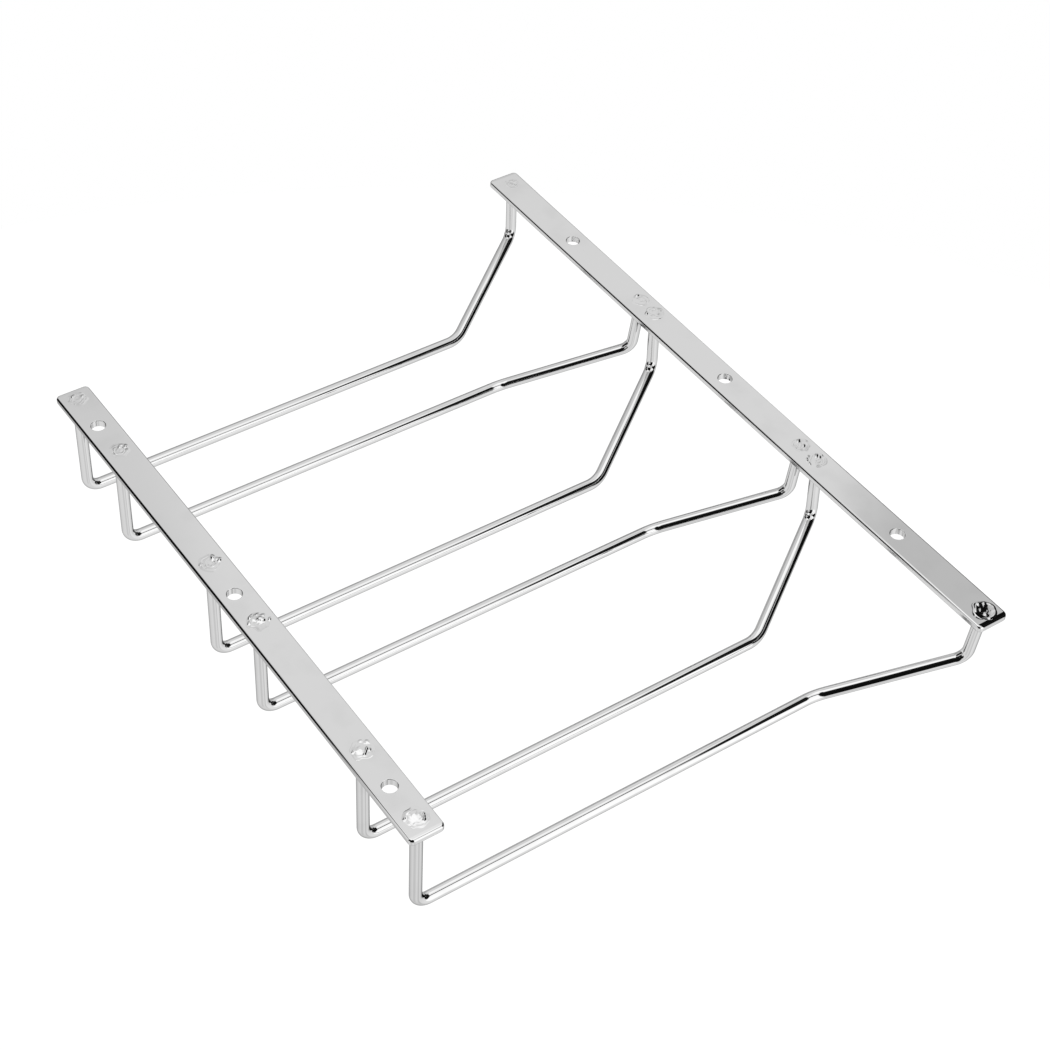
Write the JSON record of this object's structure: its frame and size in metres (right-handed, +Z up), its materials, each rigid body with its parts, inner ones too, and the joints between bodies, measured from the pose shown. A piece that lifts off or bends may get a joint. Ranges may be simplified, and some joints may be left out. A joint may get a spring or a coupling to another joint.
{
  "type": "hanging wine glass rack",
  "caption": "Chromed wire rack that is screwed under a shelf: flat mounting bars carry pairs of bent wires, flared at the mouth, that hold stemmed glasses upside down by the foot.",
  "frame": {"origin": "middle of the plane of the mounting bars' tops, where the underside of the shelf lies", "axes": "+X along the bars, -Y towards the mouths where the glasses go in, +Z up towards the shelf"},
  "size_m": [0.342, 0.255, 0.0532],
  "materials": {
    "bar_chrome": "bright chrome plate over flat steel bar",
    "wire_chrome": "bright chrome plate over drawn steel wire"
  },
  "bodies": {
    "root": {"front_bar": "bar_chrome", "rear_bar": "bar_chrome", "left_channel_left_wire": "wire_chrome", "left_channel_right_wire": "wire_chrome", "middle_channel_left_wire": "wire_chrome", "middle_channel_right_wire": "wire_chrome", "right_channel_left_wire": "wire_chrome", "right_channel_right_wire": "wire_chrome"}
  },
  "joints": []
}
